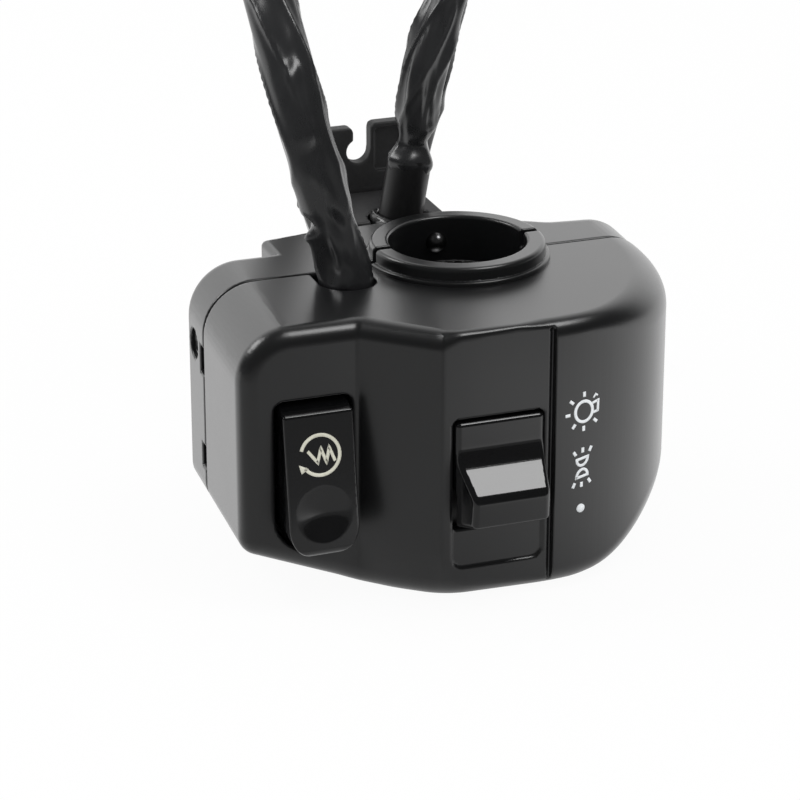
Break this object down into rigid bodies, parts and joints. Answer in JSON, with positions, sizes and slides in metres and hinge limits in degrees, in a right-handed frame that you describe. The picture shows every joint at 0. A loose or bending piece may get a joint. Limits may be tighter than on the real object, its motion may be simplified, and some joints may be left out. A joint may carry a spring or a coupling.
{
  "type": "handlebar switch cluster",
  "caption": "Two-shell switch case clamped on a handlebar, with a rocking start button, a lighting slider, sleeved leads and a forked cable bracket.",
  "frame": {"origin": "on the bore axis, in the plane of the flat outboard end", "axes": "+Z along the bore towards the collar at the inboard end, +X along the seam towards the rounded end, +Y away from the rider"},
  "size_m": [0.1053, 0.1318, 0.1007],
  "materials": {
    "case_plastic": "black, semi-gloss moulded plastic",
    "screw_steel": "plated steel",
    "pin_steel": "blackened steel",
    "bracket_metal": "black painted cast metal",
    "outlet_rubber": "black satin rubber",
    "button_plastic": "black glossy plastic",
    "spring_steel": "drawn spring wire",
    "contact_brass": "stamped brass",
    "insulator": "brown moulded insulator",
    "carrier_plastic": "black moulded plastic",
    "grommet_rubber": "black rubber",
    "wire_yellow": "yellow insulated wire",
    "wire_red": "red insulated wire",
    "lead_sleeve": "black glossy soft sleeve, flattened and creased",
    "connector_plastic": "natural white nylon"
  },
  "bodies": {
    "case": {"rear_shell": "case_plastic", "front_shell": "case_plastic", "case_screws": "screw_steel", "locating_pin": "pin_steel", "cable_bracket": "bracket_metal", "bracket_screws": "screw_steel", "outlet_tube": "outlet_rubber", "start_pivot_pin": "screw_steel", "start_spring": "spring_steel", "start_base": "insulator", "start_terminals": "contact_brass", "start_base_screw": "screw_steel", "light_base": "insulator", "light_contacts": "contact_brass", "light_base_screws": "screw_steel", "lead_grommet": "grommet_rubber", "start_wires": "wire_yellow", "lamp_wires": "wire_red", "main_lead": "lead_sleeve", "main_connector": "connector_plastic", "lamp_lead": "lead_sleeve", "lamp_connector": "connector_plastic"},
    "start_button": {"start_button": "button_plastic", "start_contact": "contact_brass"},
    "light_slider": {"light_slider": "button_plastic", "light_carrier": "carrier_plastic", "light_wiper": "contact_brass", "detent_ball": "screw_steel", "detent_spring": "spring_steel"}
  },
  "joints": [
    {"name": "start_press", "type": "hinge", "parent": "case", "child": "start_button", "pos_m": [-0.0323, -0.0184, 0.036], "axis": [1, 0, 0], "range_deg": [0, 5.6], "stiffness_Nm_per_rad": 0.5, "springref_deg": -2.86, "deforming": ["start_spring"]},
    {"name": "light_slide", "type": "slide", "parent": "case", "child": "light_slider", "axis": [0, 0, -1], "range_m": [0, 0.006]}
  ]
}
